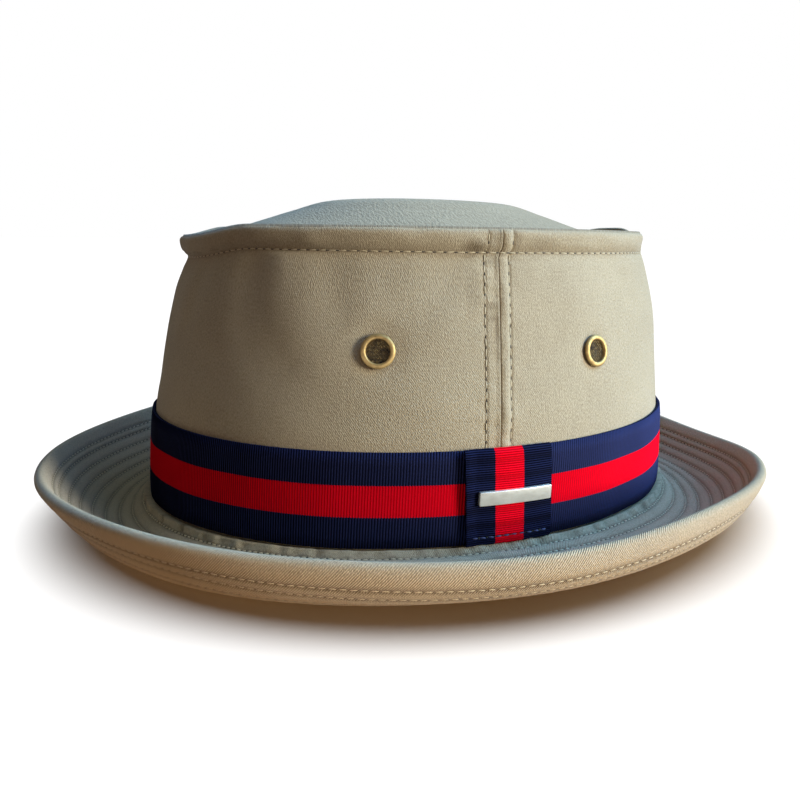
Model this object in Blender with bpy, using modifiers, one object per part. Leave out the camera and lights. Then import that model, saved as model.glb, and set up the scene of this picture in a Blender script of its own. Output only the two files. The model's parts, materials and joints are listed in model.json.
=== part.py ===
"""Pork pie hat of cotton twill.

The crown is two half walls that meet in a seam at each side and a domed top
that is sewn to them in a pinched rim. The stitched brim dips at front and
back and turns up at its edge. A ribbon band runs round the foot of the
crown, with an upright tab and a blank metal bar at the wearer's left side,
and four brass vents with mesh go through the walls.

Metres, +Z up. The hat faces -Y and the wearer's left is +X. The origin is at
the centre of the brim's outline, on the surface that the hat rests on.
"""

import math

import bmesh
import bpy
from mathutils import Vector

# Cloth and the clearance between pieces
WALL_CLOTH = 0.0016
TOP_CLOTH = 0.0014
BRIM_CLOTH = 0.0024
GAP = 0.0003

# Crown, from its foot on the brim to the edge of its rim
CROWN_LENGTH = 0.2048
CROWN_WIDTH = 0.1686
CROWN_HEIGHT = 0.0982
RIM_LIFT = 0.0009
DOME_RISE = 0.0123
VALLEY_DEPTH = 0.0082

# Brim
BRIM_OVERHANG = 0.0356
BRIM_ROOT = 0.0023
EDGE_RISE = 0.0160
EDGE_ROUND = 0.0008
NECK_HEIGHT = 0.0080
NECK_FOLD = 0.00025
REST_PRESS = 0.0003

# Band, tab and bar
BAND_WIDTH = 0.0309
BAND_RAISE = 0.0012
RIBBON_CLOTH = 0.0010
TAB_WIDTH = 0.0290
TAB_OVERLAP = 0.0005
TAB_SHIFT = 0.0034
TAB_LEAN = 0.0022
TAB_ROUND = 0.0003
BAR_LENGTH = 0.0241
BAR_HEIGHT = 0.0046
BAR_THICKNESS = 0.0012
BAR_SHIFT = 0.0048
BAR_RAISE = 0.0160
BAR_ROUND = 0.0004

# Vents
VENT_DIAMETER = 0.0106
VENT_DOME = 0.0013
VENT_BORE = 0.0073
VENT_WALL = 0.0004
VENT_REACH = 0.0024
VENT_ANGLE = math.radians(22.5)
VENT_RAISE_FRONT = 0.0615
VENT_RAISE_BACK = 0.0592
VENT_SEAT = 0.00045
MESH_THICKNESS = 0.0005
MESH_DEPTH = 0.0004

# How finely the shapes are divided
STATIONS = 56
BRIM_STEPS = 10
TOP_STEPS = 11
TAB_STEPS = 8
VENT_SIDES = 16

# Outline of the crown wall. Height is a share of CROWN_HEIGHT, length and
# shift are shares of CROWN_LENGTH, and width is a share of CROWN_WIDTH.
CROWN_COLUMNS = ("height", "length", "width", "shift")
CROWN_ROWS = (
    (0.000, 1.000, 1.000, 0.0000),
    (0.327, 0.978, 1.037, 0.0000),
    (0.625, 0.939, 0.983, 0.0066),
    (0.776, 0.911, 0.948, 0.0098),
    (0.878, 0.887, 0.920, 0.0120),
    (0.924, 0.874, 0.906, 0.0132),
    (0.950, 0.884, 0.918, 0.0132),
    (0.980, 0.888, 0.923, 0.0132),
    (1.000, 0.881, 0.915, 0.0132),
)
WALL_LEVELS = (0.0, 0.16, 0.327, 0.45, 0.57, 0.69, 0.80, 0.878, 0.924, 0.950, 0.980, 1.0)

# Path of the top panel, from its centre to the edge of the rim. Reach is a
# share of the way to the wall, dome of DOME_RISE and valley of VALLEY_DEPTH.
TOP_COLUMNS = ("path", "reach", "dome", "valley")
TOP_ROWS = (
    (0.00, 0.000, 1.000, 0.00),
    (0.12, 0.220, 0.985, 0.00),
    (0.24, 0.420, 0.880, 0.00),
    (0.35, 0.560, 0.560, 0.00),
    (0.46, 0.680, 0.250, 0.00),
    (0.57, 0.790, 0.030, 0.10),
    (0.68, 0.880, 0.000, 0.50),
    (0.78, 0.945, 0.000, 0.88),
    (0.86, 0.985, 0.000, 1.00),
    (0.92, 1.000, 0.000, 0.80),
    (1.00, 1.000, 0.000, 0.03),
)

# Sections of the brim. Direction is in degrees from the wearer's left round
# to the back. Overhang is a share of BRIM_OVERHANG and edge of EDGE_RISE. The
# slopes, in degrees, are those of the cloth where it leaves the crown and
# where it ends at its edge.
BRIM_COLUMNS = ("direction", "overhang", "edge", "root_slope", "edge_slope")
BRIM_ROWS = (
    (0, 1.010, 0.81, -8, 112),
    (30, 1.005, 1.00, -21, 94),
    (60, 1.000, 0.77, -46, 58),
    (90, 0.990, 0.44, -58, 40),
    (120, 1.005, 0.84, -46, 57),
    (150, 1.015, 1.20, -21, 91),
    (180, 1.010, 1.08, -8, 111),
    (210, 1.000, 0.99, -19, 98),
    (240, 0.990, 0.95, -42, 68),
    (270, 0.990, 0.91, -53, 53),
    (300, 0.985, 1.00, -42, 69),
    (330, 0.995, 0.89, -19, 100),
)
# Lengths of the curve's two handles, as shares of BRIM_OVERHANG
ROOT_HANDLE = 0.615
EDGE_HANDLE = 0.345


def tangent(rows, index, column):
    """Slope of a column at a row, from the rows on both sides of it."""
    before = rows[max(index - 1, 0)]
    after = rows[min(index + 1, len(rows) - 1)]
    return (after[column] - before[column]) / (after[0] - before[0])


def read_table(columns, rows, place):
    """Values of all columns at a place in the first, on a smooth curve through the rows."""
    upper = 1
    while upper < len(rows) - 1 and rows[upper][0] < place:
        upper += 1
    low, high = rows[upper - 1], rows[upper]
    span = high[0] - low[0]
    share = (place - low[0]) / span
    rise = share * share * (3 - 2 * share)
    leave = share * (1 - share) ** 2 * span
    arrive = share * share * (share - 1) * span
    values = {}
    for column, name in enumerate(columns[1:], start=1):
        value = low[column] + (high[column] - low[column]) * rise
        value += leave * tangent(rows, upper - 1, column)
        value += arrive * tangent(rows, upper, column)
        values[name] = value
    return values


def close_round(rows, turn):
    """Rows of a table round a closed outline, with a neighbour added at each end."""
    first = tuple([rows[-1][0] - turn] + list(rows[-1][1:]))
    last = [tuple([row[0] + turn] + list(row[1:])) for row in rows[:2]]
    return (first,) + tuple(rows) + tuple(last)


def brim_curve(angle):
    """Points across the brim from its root to its edge, as (outwards, upwards)."""
    direction = math.degrees(angle) % 360
    section = read_table(BRIM_COLUMNS, close_round(BRIM_ROWS, 360), direction)
    root_slope = math.radians(section["root_slope"])
    edge_slope = math.radians(section["edge_slope"])
    start = Vector((0, 0))
    end = Vector((section["overhang"] * BRIM_OVERHANG, section["edge"] * EDGE_RISE))
    leave = start + Vector((math.cos(root_slope), math.sin(root_slope))) * ROOT_HANDLE * BRIM_OVERHANG
    arrive = end - Vector((math.cos(edge_slope), math.sin(edge_slope))) * EDGE_HANDLE * BRIM_OVERHANG
    points = []
    for step in range(BRIM_STEPS + 1):
        share = step / BRIM_STEPS
        rest = 1 - share
        point = start * rest ** 3 + leave * (3 * rest * rest * share)
        point += arrive * (3 * rest * share * share) + end * share ** 3
        points.append(point)
    return points


def dip_between(first, last):
    """How far the brim's underside hangs below its root, at most, over some directions."""
    lows = []
    for degrees in range(first, last + 1, 5):
        lows.append(min(point.y for point in brim_curve(math.radians(degrees))))
    return BRIM_CLOTH - min(lows)


# The hat rests on the brim's dips at the back and at the front, so its root
# is as high as the shallower of the two, less what the weight presses flat.
SEAT_HEIGHT = min(dip_between(45, 135), dip_between(225, 315)) - REST_PRESS
CROWN_FOOT = SEAT_HEIGHT + GAP
BAND_FOOT = CROWN_FOOT + BAND_RAISE


def crown_point(angle, level, outset):
    """A point on the crown wall's outer face, or set out from it, at a share of its height."""
    outline = read_table(CROWN_COLUMNS, CROWN_ROWS, level)
    half_length = outline["length"] * CROWN_LENGTH / 2
    half_width = outline["width"] * CROWN_WIDTH / 2
    normal = Vector((math.cos(angle) / half_width, math.sin(angle) / half_length)).normalized()
    x = half_width * math.cos(angle) + normal.x * outset
    y = half_length * math.sin(angle) + normal.y * outset + outline["shift"] * CROWN_LENGTH
    z = CROWN_FOOT + level * CROWN_HEIGHT - RIM_LIFT * level * math.sin(angle)
    return Vector((x, y, z))


def crown_level(height):
    """Share of the crown's height at a height above the resting surface."""
    return (height - CROWN_FOOT) / CROWN_HEIGHT


def make_material(name, color, roughness, metallic=0.0):
    """A Principled material."""
    material = bpy.data.materials.new(name)
    material.use_nodes = True
    shader = material.node_tree.nodes["Principled BSDF"]
    shader.inputs["Base Color"].default_value = (*color, 1.0)
    shader.inputs["Roughness"].default_value = roughness
    shader.inputs["Metallic"].default_value = metallic
    material.diffuse_color = (*color, 1.0)
    return material


def add_object(name, mesh, collection, material=None):
    """Put a mesh in the scene as a named object."""
    item = bpy.data.objects.new(name, mesh)
    collection.objects.link(item)
    if material:
        mesh.materials.append(material)
    return item


def grid_mesh(name, rows, closed):
    """A sheet through rows of points. A closed sheet joins each row's end to its start."""
    shape = bmesh.new()
    lines = [[shape.verts.new(point) for point in row] for row in rows]
    count = len(rows[0])
    for lower, upper in zip(lines, lines[1:]):
        for place in range(count if closed else count - 1):
            after = (place + 1) % count
            shape.faces.new((lower[place], lower[after], upper[after], upper[place]))
    mesh = bpy.data.meshes.new(name)
    shape.to_mesh(mesh)
    shape.free()
    return mesh


def thicken(item, thickness, offset):
    """Give an open sheet its cloth's thickness, inwards at -1 and outwards at 1."""
    solid = item.modifiers.new("cloth", "SOLIDIFY")
    solid.thickness = thickness
    solid.offset = offset
    solid.use_even_offset = True


def round_edges(item, width):
    """Round the cut edges of a sheet."""
    bevel = item.modifiers.new("round", "BEVEL")
    bevel.width = width
    bevel.segments = 1
    bevel.limit_method = "ANGLE"
    bevel.angle_limit = math.radians(60)


def cut(item, cutter):
    """Take a cutter's shape out of an object."""
    boolean = item.modifiers.new("cut", "BOOLEAN")
    boolean.operation = "DIFFERENCE"
    boolean.solver = "EXACT"
    boolean.object = cutter


def add_cutter(name, shape, cutters):
    """Make a cutter from a bmesh, shown as wire and left out of renders."""
    mesh = bpy.data.meshes.new(name)
    shape.to_mesh(mesh)
    shape.free()
    cutter = add_object(name, mesh, cutters)
    cutter.hide_render = True
    cutter.display_type = "WIRE"
    return cutter


def turn_steps():
    """The angles of the stations round the hat."""
    return [2 * math.pi * station / STATIONS for station in range(STATIONS)]


def build_brim(parts, cutters, material):
    """The brim, with the edge that is turned up and sewn inside the foot of the crown."""
    behind_wall = -(WALL_CLOTH + GAP)
    columns = []
    for angle in turn_steps():
        neck_top = crown_point(angle, crown_level(SEAT_HEIGHT + NECK_HEIGHT), behind_wall)
        neck_foot = crown_point(angle, 0.0, behind_wall)
        neck_foot.z = SEAT_HEIGHT + NECK_FOLD
        seat = crown_point(angle, 0.0, behind_wall + NECK_FOLD)
        seat.z = SEAT_HEIGHT
        column = [neck_top, neck_foot, seat]
        for point in brim_curve(angle):
            place = crown_point(angle, 0.0, BRIM_ROOT + point.x)
            place.z = max(SEAT_HEIGHT + point.y, BRIM_CLOTH - REST_PRESS / 2)
            column.append(place)
        columns.append(column)
    rows = [list(row) for row in zip(*columns)]
    brim = add_object("brim", grid_mesh("brim", rows[::-1], True), parts, material)
    thicken(brim, BRIM_CLOTH, -1)
    round_edges(brim, EDGE_ROUND)
    # The cloth lies flat on the surface at the dips that carry the hat
    size = 2 * (CROWN_LENGTH + BRIM_OVERHANG)
    shape = bmesh.new()
    bmesh.ops.create_cube(shape, size=size)
    bmesh.ops.translate(shape, verts=shape.verts, vec=(0, 0, -size / 2))
    cut(brim, add_cutter("resting_surface", shape, cutters))
    return brim


def build_wall(name, start, parts, material):
    """Half of the crown wall, from one side seam to the other."""
    half_gap = GAP / 2 / (CROWN_WIDTH / 2)
    angles = [start + math.pi * step * 2 / STATIONS for step in range(STATIONS // 2 + 1)]
    angles[0] += half_gap
    angles[-1] -= half_gap
    rows = [[crown_point(angle, level, 0.0) for angle in angles] for level in WALL_LEVELS]
    wall = add_object(name, grid_mesh(name, rows, False), parts, material)
    thicken(wall, WALL_CLOTH, -1)
    return wall


def build_top(parts, material):
    """The top panel: a dome, the valley round it and the inner side of the rim."""
    inset = -(WALL_CLOTH + GAP + TOP_CLOTH)
    rim_height = CROWN_FOOT + CROWN_HEIGHT
    shape = bmesh.new()
    rings = []
    for step in range(1, TOP_STEPS + 1):
        path = read_table(TOP_COLUMNS, TOP_ROWS, step / TOP_STEPS)
        height = rim_height + path["dome"] * DOME_RISE - path["valley"] * VALLEY_DEPTH
        level = min(crown_level(height), 1.0)
        ring = []
        for angle in turn_steps():
            place = crown_point(angle, level, inset)
            centre = Vector((0, read_table(CROWN_COLUMNS, CROWN_ROWS, level)["shift"] * CROWN_LENGTH))
            place.xy = centre + (place.xy - centre) * path["reach"]
            place.z = height - RIM_LIFT * path["reach"] * math.sin(angle)
            ring.append(shape.verts.new(place))
        rings.append(ring)
    middle = shape.verts.new((0, CROWN_ROWS[-1][3] * CROWN_LENGTH, rim_height + DOME_RISE))
    for station in range(STATIONS):
        after = (station + 1) % STATIONS
        shape.faces.new((middle, rings[0][station], rings[0][after]))
        for inner, outer in zip(rings, rings[1:]):
            shape.faces.new((inner[station], outer[station], outer[after], inner[after]))
    mesh = bpy.data.meshes.new("crown_top")
    shape.to_mesh(mesh)
    shape.free()
    top = add_object("crown_top", mesh, parts, material)
    thicken(top, TOP_CLOTH, -1)
    return top


def build_band(parts, material):
    """The ribbon band round the foot of the crown."""
    heights = [BAND_FOOT, BAND_FOOT + BAND_WIDTH / 3, BAND_FOOT + BAND_WIDTH * 2 / 3, BAND_FOOT + BAND_WIDTH]
    rows = [[crown_point(angle, crown_level(height), GAP) for angle in turn_steps()] for height in heights]
    for row, height in zip(rows, heights):
        for place in row:
            place.z = height
    band = add_object("hat_band", grid_mesh("hat_band", rows, True), parts, material)
    thicken(band, RIBBON_CLOTH, 1)
    return band


def side_patch(name, length, heights, shift, lean, outset):
    """A sheet on the wearer's left side of the crown, that follows its curve."""
    rows = []
    for row, height in enumerate(heights):
        share = row / (len(heights) - 1)
        middle = shift + lean * (0.5 - share)
        line = []
        for step in range(TAB_STEPS + 1):
            along = middle + length * (step / TAB_STEPS - 0.5)
            place = crown_point(math.asin(along * 2 / CROWN_LENGTH), crown_level(height), outset)
            place.z = height
            line.append(place)
        rows.append(line)
    return grid_mesh(name, rows, False)


def build_tab(parts, material):
    """The upright ribbon tab that covers the ends of the band."""
    foot = BAND_FOOT - TAB_OVERLAP
    height = BAND_WIDTH + 2 * TAB_OVERLAP
    heights = [foot + height * share for share in (0.0, 1 / 3, 2 / 3, 1.0)]
    outset = GAP + RIBBON_CLOTH + GAP
    mesh = side_patch("band_tab", TAB_WIDTH, heights, TAB_SHIFT, TAB_LEAN, outset)
    tab = add_object("band_tab", mesh, parts, material)
    thicken(tab, RIBBON_CLOTH, 1)
    round_edges(tab, TAB_ROUND)
    return tab


def build_bar(parts, material):
    """The blank metal bar across the tab."""
    middle = BAND_FOOT + BAR_RAISE
    heights = [middle - BAR_HEIGHT / 2, middle + BAR_HEIGHT / 2]
    outset = 3 * GAP + 2 * RIBBON_CLOTH
    mesh = side_patch("name_bar", BAR_LENGTH, heights, BAR_SHIFT, 0.0, outset)
    bar = add_object("name_bar", mesh, parts, material)
    thicken(bar, BAR_THICKNESS, 1)
    round_edges(bar, BAR_ROUND)
    return bar


def vent_frame(angle, height):
    """Centre of a vent on the wall's outer face, and the turn that points its Z axis outwards."""
    level = crown_level(CROWN_FOOT + height)
    step = 0.01
    centre = crown_point(angle, level, 0.0)
    along = crown_point(angle + step, level, 0.0) - crown_point(angle - step, level, 0.0)
    upward = crown_point(angle, level + step, 0.0) - crown_point(angle, level - step, 0.0)
    outward = along.cross(upward).normalized()
    return centre, outward.to_track_quat("Z", "Y").to_euler(), outward


def ring_mesh(name):
    """Section of a vent's ring, right of its axis, with the flange outside and the barrel inside."""
    outer = VENT_DIAMETER / 2
    bore = VENT_BORE / 2
    barrel = bore + VENT_WALL
    crest = (outer + bore) / 2
    section = (
        (outer, 0.0),
        (outer, VENT_DOME * 0.4),
        ((outer + crest) / 2, VENT_DOME * 0.85),
        (crest, VENT_DOME),
        ((bore + crest) / 2, VENT_DOME * 0.85),
        (bore, VENT_DOME * 0.4),
        (bore, -VENT_REACH),
        (barrel, -VENT_REACH),
        (barrel, 0.0),
    )
    shape = bmesh.new()
    points = [shape.verts.new((x, 0, z)) for x, z in section]
    for here, there in zip(points, points[1:] + points[:1]):
        shape.edges.new((there, here))
    mesh = bpy.data.meshes.new(name)
    shape.to_mesh(mesh)
    shape.free()
    return mesh


def build_vents(parts, cutters, walls, brass, wire):
    """Four vents, two on each side of each side seam, set through holes in the walls."""
    places = (
        (-VENT_ANGLE, VENT_RAISE_FRONT, "front"),
        (VENT_ANGLE, VENT_RAISE_BACK, "back"),
        (math.pi - VENT_ANGLE, VENT_RAISE_BACK, "back"),
        (math.pi + VENT_ANGLE, VENT_RAISE_FRONT, "front"),
    )
    for number, (angle, height, side) in enumerate(places, start=1):
        centre, turn, outward = vent_frame(angle, height)

        ring = add_object(f"vent_ring_{number}", ring_mesh(f"vent_ring_{number}"), parts, brass)
        ring.location = centre + outward * VENT_SEAT
        ring.rotation_euler = turn
        screw = ring.modifiers.new("turn", "SCREW")
        screw.axis = "Z"
        screw.steps = VENT_SIDES
        screw.render_steps = VENT_SIDES
        screw.use_merge_vertices = True
        screw.merge_threshold = 0.00005
        screw.use_normal_calculate = True

        shape = bmesh.new()
        radius = VENT_BORE / 2 - GAP
        bmesh.ops.create_cone(shape, cap_ends=True, segments=VENT_SIDES, radius1=radius, radius2=radius,
                              depth=MESH_THICKNESS)
        bmesh.ops.translate(shape, verts=shape.verts, vec=(0, 0, -MESH_DEPTH - MESH_THICKNESS / 2))
        disc = bpy.data.meshes.new(f"vent_mesh_{number}")
        shape.to_mesh(disc)
        shape.free()
        mesh = add_object(f"vent_mesh_{number}", disc, parts, wire)
        mesh.location = ring.location
        mesh.rotation_euler = turn

        hole = VENT_BORE / 2 + VENT_WALL + GAP
        shape = bmesh.new()
        bmesh.ops.create_cone(shape, cap_ends=True, segments=VENT_SIDES, radius1=hole, radius2=hole,
                              depth=10 * WALL_CLOTH)
        cutter = add_cutter(f"vent_hole_{number}", shape, cutters)
        cutter.location = centre
        cutter.rotation_euler = turn
        cut(walls[side], cutter)


def build_hat():
    """Build every piece of the hat."""
    for item in list(bpy.data.objects):
        bpy.data.objects.remove(item, do_unlink=True)
    parts = bpy.data.collections.new("pork_pie_hat")
    cutters = bpy.data.collections.new("cutters")
    bpy.context.scene.collection.children.link(parts)
    bpy.context.scene.collection.children.link(cutters)

    wall_twill = make_material("wall_twill", (0.42, 0.34, 0.23), 0.85)
    top_twill = make_material("top_twill", (0.40, 0.33, 0.23), 0.85)
    brim_twill = make_material("brim_twill", (0.41, 0.33, 0.22), 0.85)
    band_ribbon = make_material("band_ribbon", (0.012, 0.014, 0.060), 0.60)
    tab_ribbon = make_material("tab_ribbon", (0.014, 0.016, 0.065), 0.60)
    bar_metal = make_material("bar_metal", (0.55, 0.53, 0.50), 0.35, 1.0)
    vent_brass = make_material("vent_brass", (0.52, 0.36, 0.15), 0.35, 1.0)
    vent_wire = make_material("vent_wire", (0.12, 0.10, 0.07), 0.50, 1.0)

    build_brim(parts, cutters, brim_twill)
    walls = {
        "back": build_wall("crown_panel_back", 0.0, parts, wall_twill),
        "front": build_wall("crown_panel_front", math.pi, parts, wall_twill),
    }
    build_top(parts, top_twill)
    build_band(parts, band_ribbon)
    build_tab(parts, tab_ribbon)
    build_bar(parts, bar_metal)
    build_vents(parts, cutters, walls, vent_brass, vent_wire)


build_hat()
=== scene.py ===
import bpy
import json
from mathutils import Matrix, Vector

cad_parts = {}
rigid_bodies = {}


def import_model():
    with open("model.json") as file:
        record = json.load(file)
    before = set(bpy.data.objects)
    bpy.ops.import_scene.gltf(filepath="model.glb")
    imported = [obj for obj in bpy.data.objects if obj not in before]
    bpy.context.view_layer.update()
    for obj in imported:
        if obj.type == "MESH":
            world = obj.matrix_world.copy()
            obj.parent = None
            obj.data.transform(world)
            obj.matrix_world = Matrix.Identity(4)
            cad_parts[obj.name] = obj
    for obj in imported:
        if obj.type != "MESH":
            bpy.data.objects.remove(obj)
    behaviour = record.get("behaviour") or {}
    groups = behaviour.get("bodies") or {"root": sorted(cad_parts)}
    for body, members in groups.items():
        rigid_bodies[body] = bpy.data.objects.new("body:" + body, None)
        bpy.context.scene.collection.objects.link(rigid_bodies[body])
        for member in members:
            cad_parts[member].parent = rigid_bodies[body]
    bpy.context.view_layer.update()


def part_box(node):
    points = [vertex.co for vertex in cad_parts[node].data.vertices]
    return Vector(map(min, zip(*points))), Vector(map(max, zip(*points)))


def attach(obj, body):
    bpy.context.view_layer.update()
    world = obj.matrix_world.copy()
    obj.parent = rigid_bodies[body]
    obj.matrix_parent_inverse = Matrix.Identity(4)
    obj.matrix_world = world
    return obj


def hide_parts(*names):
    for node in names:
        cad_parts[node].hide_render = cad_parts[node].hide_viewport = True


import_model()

# Pork pie hat of cotton twill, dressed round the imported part. The pieces
# follow the order in which the hat is sewn: brim, crown walls, top panel,
# topstitching, vents, ribbon band, tab and bar. Metres, +Z up. The hat faces
# -Y and the wearer's left is +X.
import json
import math
import random
from functools import lru_cache

import bmesh
import bpy
import numpy as np
from mathutils import Matrix, Vector, noise


# Brim. Two layers of twill over a stiff core, quilted together in rings of
# stitching, with a soft roll at its turned-up edge. Its inner edge is turned
# up and sewn inside the foot of the crown, so the crown's outline comes first.
front_low, front_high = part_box("crown_panel_front")
back_low, back_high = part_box("crown_panel_back")
crown_foot = front_low.z
crown_height = back_high.z - crown_foot
rim_lift = front_high.z - back_high.z
crown_half_length = (back_high.y - front_low.y) / 2
wall_gap = 0.0003
wall_cloth = 0.0016
crown_rows = (
    # height, length, width, shift towards the back, as shares of the crown's
    (0.000, 1.000, 1.000, 0.0000),
    (0.327, 0.978, 1.037, 0.0000),
    (0.625, 0.939, 0.983, 0.0132),
    (0.776, 0.911, 0.948, 0.0196),
    (0.878, 0.887, 0.920, 0.0240),
    (0.924, 0.874, 0.906, 0.0264),
    (0.950, 0.884, 0.918, 0.0264),
    (0.980, 0.888, 0.923, 0.0264),
    (1.000, 0.881, 0.915, 0.0264),
)
widest_share = max(row[2] for row in crown_rows)
crown_half_width = front_high.x / widest_share


def read_rows(rows, place):
    """Values of a table at a place in its first column, on a smooth curve through its rows."""
    upper = 1
    while upper < len(rows) - 1 and rows[upper][0] < place:
        upper += 1
    low, high = rows[upper - 1], rows[upper]
    before, after = rows[max(upper - 2, 0)], rows[min(upper + 1, len(rows) - 1)]
    span = high[0] - low[0]
    share = (place - low[0]) / span
    values = []
    for column in range(1, len(low)):
        leave = (high[column] - before[column]) / (high[0] - before[0])
        arrive = (after[column] - low[column]) / (after[0] - low[0])
        value = low[column] + (high[column] - low[column]) * share * share * (3 - 2 * share)
        value += share * (1 - share) ** 2 * span * leave
        value += share * share * (share - 1) * span * arrive
        values.append(value)
    return values


pinch_level = 0.924
rim_dip = 0.0037
rim_peak = 0.0022
rim_lobe = 0.0009
rim_tuck = 0.0022
back_fullness = 0.0012


def ramp(value, start, end):
    """Smooth step from 0 at start to 1 at end."""
    share = min(max((value - start) / (end - start), 0.0), 1.0)
    return share * share * (3 - 2 * share)


def round_noise(angle, turns, depth):
    """Smooth noise on a circle, so that it meets itself after a whole turn."""
    return noise.noise(Vector((turns * math.cos(angle), turns * math.sin(angle), depth)))


@lru_cache(maxsize=None)
def crown_outline(level):
    """Half length, half width and shift of the crown wall at a share of its height."""
    length, width, shift = read_rows(crown_rows, level)
    return length * crown_half_length, width * crown_half_width, shift * crown_half_length


def rim_sag(angle):
    """How far the soft rim sags. It sags at the front end and stands up at the back end."""
    front = -math.sin(angle)
    return rim_dip * ramp(front, 0.80, 1.0) - rim_peak * ramp(-front, 0.95, 1.0)


def crown_point(angle, level, outset):
    """A point set out from the crown wall's plain outer face, at a share of its height."""
    half_length, half_width, shift = crown_outline(level)
    front = -math.sin(angle)
    z = crown_foot + level * crown_height + rim_lift * level * front
    z -= rim_sag(angle) * ramp(level, 0.74, pinch_level)
    outset += back_fullness * ramp(-front, 0.5, 1.0) * math.sin(math.pi * ramp(level, 0.40, 0.96))
    lobe = rim_lobe * ramp(front, 0.70, 1.0) - rim_tuck * ramp(-front, 0.70, 1.0)
    outset += lobe * ramp(level, pinch_level, pinch_level + 0.03)
    normal = Vector((math.cos(angle) / half_width, math.sin(angle) / half_length)).normalized()
    x = half_width * math.cos(angle) + normal.x * outset
    y = half_length * math.sin(angle) + normal.y * outset + shift
    return Vector((x, y, z))


brim_cloth = 0.0024
brim_overhang = 0.0356
edge_rise = 0.0160
brim_root = 0.0023
neck_height = 0.0080
neck_fold = 0.00025
seat_height = crown_foot - wall_gap
brim_rows = (
    # direction in degrees, overhang, edge height, slope at root, slope at edge
    (0, 1.010, 0.81, -8, 112),
    (30, 1.005, 1.00, -21, 94),
    (60, 1.000, 0.77, -46, 58),
    (90, 0.990, 0.44, -58, 40),
    (120, 1.005, 0.84, -46, 57),
    (150, 1.015, 1.20, -21, 91),
    (180, 1.010, 1.13, -8, 111),
    (210, 1.000, 1.02, -19, 98),
    (240, 0.985, 0.88, -42, 68),
    (270, 0.990, 0.91, -53, 53),
    (300, 0.985, 1.00, -42, 69),
    (330, 0.995, 0.89, -19, 100),
)
root_handle = 0.615
edge_handle = 0.345
brim_stations = 560
row_steps = 6
edge_steps = 8
inner_row = 0.0026
edge_roll = 0.0014
edge_rows = (0.0078, 0.0048)
quilted_rows = 6
quilt_puff = 0.00060
roll_puff = 0.00075
pucker = 0.00046
pucker_pitch = 0.0034
pucker_radius = 0.105
root_welt = 0.0014
root_folds = 2.6
root_shade = 1.3
crease_width = 0.0011
under_share = 0.6
under_turn = 40.0
brim_pitch_radius = 0.118
brim_stitch = 0.0024
twill_tan = (0.412, 0.336, 0.232)
# twill_shade is the dark yarn colour and also the painted shade in creases.
twill_shade = (0.180, 0.130, 0.078)
twill_pitch = 0.00054
closed_brim_rows = (
    (brim_rows[-1][0] - 360, *brim_rows[-1][1:]),
    *brim_rows,
    *((row[0] + 360, *row[1:]) for row in brim_rows[:2]),
)
curve_samples = 48


def run_along(points):
    """Distances along a line of points from its first one."""
    return np.concatenate(((0.0,), np.cumsum(np.linalg.norm(np.diff(points, axis=0), axis=1))))


@lru_cache(maxsize=None)
def brim_section(angle):
    """The brim's upper face at an angle: points (outwards, upwards) and their distances from the root."""
    overhang, edge, root_slope, edge_slope = read_rows(closed_brim_rows, math.degrees(angle) % 360)
    start = np.zeros(2)
    end = np.array((overhang * brim_overhang, edge * edge_rise))
    root_slope, edge_slope = math.radians(root_slope), math.radians(edge_slope)
    leave = start + np.array((math.cos(root_slope), math.sin(root_slope))) * root_handle * brim_overhang
    arrive = end - np.array((math.cos(edge_slope), math.sin(edge_slope))) * edge_handle * brim_overhang
    share = np.linspace(0, 1, curve_samples)[:, None]
    points = start * (1 - share) ** 3 + leave * 3 * (1 - share) ** 2 * share
    points = points + arrive * 3 * (1 - share) * share ** 2 + end * share ** 3
    points[:, 1] = np.maximum(points[:, 1], brim_cloth - seat_height)
    return points, run_along(points)


def brim_row_places(angle):
    """Distances from the root of the rings of stitching, and of the brim's edge."""
    length = brim_section(angle)[1][-1] - edge_roll
    outer = length - edge_rows[0]
    rows = [inner_row + (outer - inner_row) * step / (quilted_rows + 1) for step in range(quilted_rows + 1)]
    return rows + [length - back for back in edge_rows] + [length]


def brim_place(angle, distance, side, raise_by):
    """A point on the brim's cloth. Side is 1 above and -1 below, and raise_by stands off the face."""
    points, distances = brim_section(angle)
    out = np.interp(distance, distances, points[:, 0])
    up = np.interp(distance, distances, points[:, 1])
    step = 0.0008
    ahead = min(distance + step, distances[-1])
    behind = max(ahead - 2 * step, 0.0)
    run = np.interp(ahead, distances, points[:, 0]) - np.interp(behind, distances, points[:, 0])
    climb = np.interp(ahead, distances, points[:, 1]) - np.interp(behind, distances, points[:, 1])
    size = math.hypot(run, climb)
    normal = (-climb / size, run / size)
    offset = raise_by if side > 0 else -brim_cloth - raise_by
    place = crown_point(angle, 0.0, brim_root + out + normal[0] * offset)
    place.z = max(seat_height + up + normal[1] * offset, 0.0)
    return place


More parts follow.
